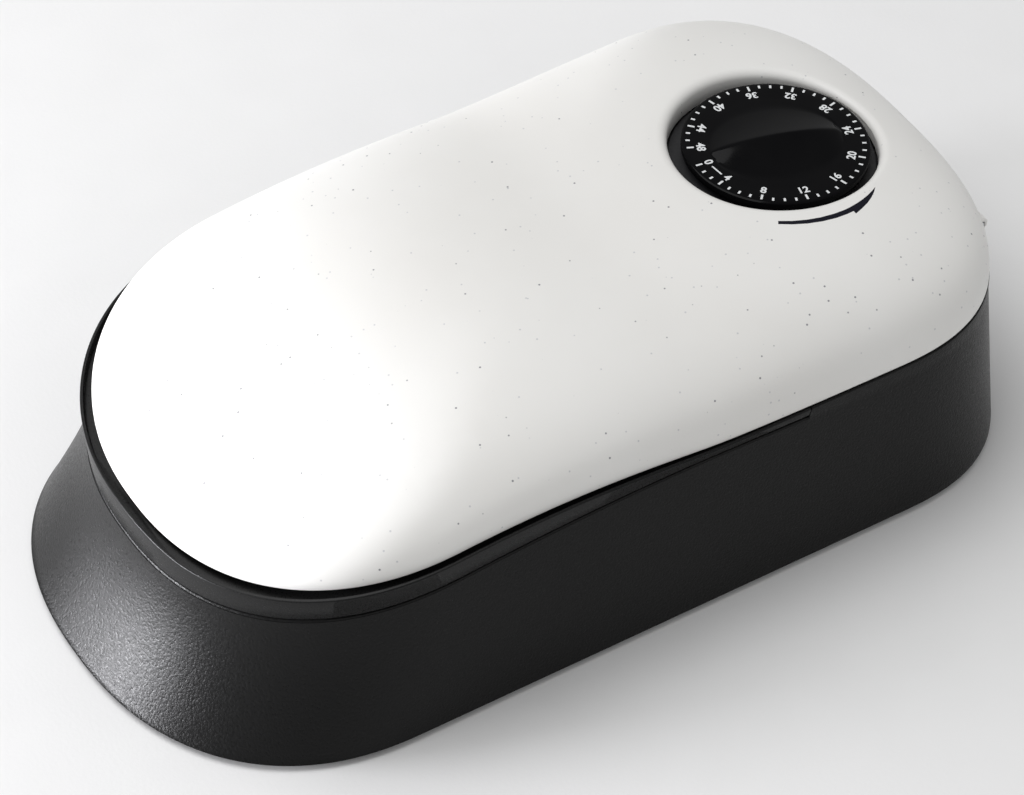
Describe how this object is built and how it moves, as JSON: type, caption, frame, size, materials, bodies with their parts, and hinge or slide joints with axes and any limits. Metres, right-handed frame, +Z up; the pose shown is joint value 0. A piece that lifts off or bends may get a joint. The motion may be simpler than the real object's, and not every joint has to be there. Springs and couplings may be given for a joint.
{
  "type": "automatic pet feeder with timer dial",
  "caption": "Single-meal automatic pet feeder: flared dark base with food bowl, hinged domed lid and a timer dial that frees the lid latch.",
  "frame": {"origin": "on the table surface, under the middle of the base", "axes": "+Z up; +Y from the food end towards the hinge end; +X across, so that -X to +X is the width"},
  "size_m": [0.146, 0.265, 0.0809],
  "materials": {
    "lid_white": "satin off-white moulding with sparse fine dark specks",
    "liner_grey": "smooth light grey moulding",
    "base_black": "fine spark-eroded charcoal texture",
    "bowl_black": "smooth charcoal, satin",
    "dial_black": "polished black with white printed scale",
    "case_black": "plain dark moulding",
    "gear_white": "natural acetal",
    "rubber": "matte",
    "seal_grey": "soft silicone",
    "steel": "bright zinc-plated steel",
    "copper": "enamelled copper winding",
    "board_green": "green solder mask",
    "cell_grey": "plain printed sleeve without lettering"
  },
  "bodies": {
    "base": {"base_shell": "base_black", "food_bowl": "bowl_black", "latch_keeper": "steel", "keeper_screw_left": "steel", "keeper_screw_right": "steel", "hinge_pin_left": "steel", "hinge_pin_right": "steel", "lid_spring_left": "steel", "lid_spring_right": "steel", "foot_front_left": "rubber", "foot_front_right": "rubber", "foot_rear_left": "rubber", "foot_rear_right": "rubber"},
    "lid": {"lid_shell": "lid_white", "lid_liner": "liner_grey", "lid_seal": "seal_grey", "liner_screw_1": "steel", "liner_screw_2": "steel", "liner_screw_3": "steel", "liner_screw_4": "steel", "timer_case": "case_black", "timer_case_cover": "case_black", "case_screw_front": "steel", "case_screw_rear": "steel", "battery_cell": "cell_grey", "battery_contact_minus": "steel", "battery_contact_plus": "steel", "circuit_board": "board_green", "motor_coil": "copper", "motor_stator": "steel", "latch_spring": "steel"},
    "dial": {"time_dial": "dial_black", "dial_shaft": "steel", "dial_wheel": "gear_white", "release_cam": "gear_white"},
    "second_gear": {"second_wheel": "gear_white"},
    "third_gear": {"third_wheel": "gear_white"},
    "rotor": {"motor_rotor": "steel"},
    "latch": {"latch_slider": "gear_white"},
    "battery_door": {"battery_cover": "case_black"}
  },
  "joints": [
    {"name": "lid_hinge", "type": "hinge", "parent": "base", "child": "lid", "pos_m": [0, 0.1256, 0.0565], "axis": [-1, 0, 0], "range_deg": [0, 65]},
    {"name": "dial_turn", "type": "hinge", "parent": "lid", "child": "dial", "pos_m": [0, 0.0846, 0.0765], "axis": [0, 0.068, 0.9977], "continuous": true},
    {"name": "second_gear_turn", "type": "hinge", "parent": "lid", "child": "second_gear", "pos_m": [0.01379, 0.07238, 0.06731], "axis": [0, 0.068, 0.9977], "continuous": true},
    {"name": "third_gear_turn", "type": "hinge", "parent": "lid", "child": "third_gear", "pos_m": [0.02016, 0.08326, 0.06456], "axis": [0, 0.068, 0.9977], "continuous": true},
    {"name": "rotor_turn", "type": "hinge", "parent": "lid", "child": "rotor", "pos_m": [0.02346, 0.09541, 0.06173], "axis": [0, 0.068, 0.9977], "continuous": true},
    {"name": "latch_slide", "type": "slide", "parent": "lid", "child": "latch", "axis": [0, 0.9977, -0.068], "range_m": [0, 0.003], "stiffness_N_per_m": 40},
    {"name": "battery_cover_slide", "type": "slide", "parent": "lid", "child": "battery_door", "axis": [0, 0.9977, -0.068], "range_m": [0, 0.01]}
  ],
  "couplings": [
    {"joint": "second_gear_turn", "follows": "dial_turn", "ratio": -5},
    {"joint": "third_gear_turn", "follows": "dial_turn", "ratio": 16.25},
    {"joint": "rotor_turn", "follows": "dial_turn", "ratio": -52.812}
  ]
}
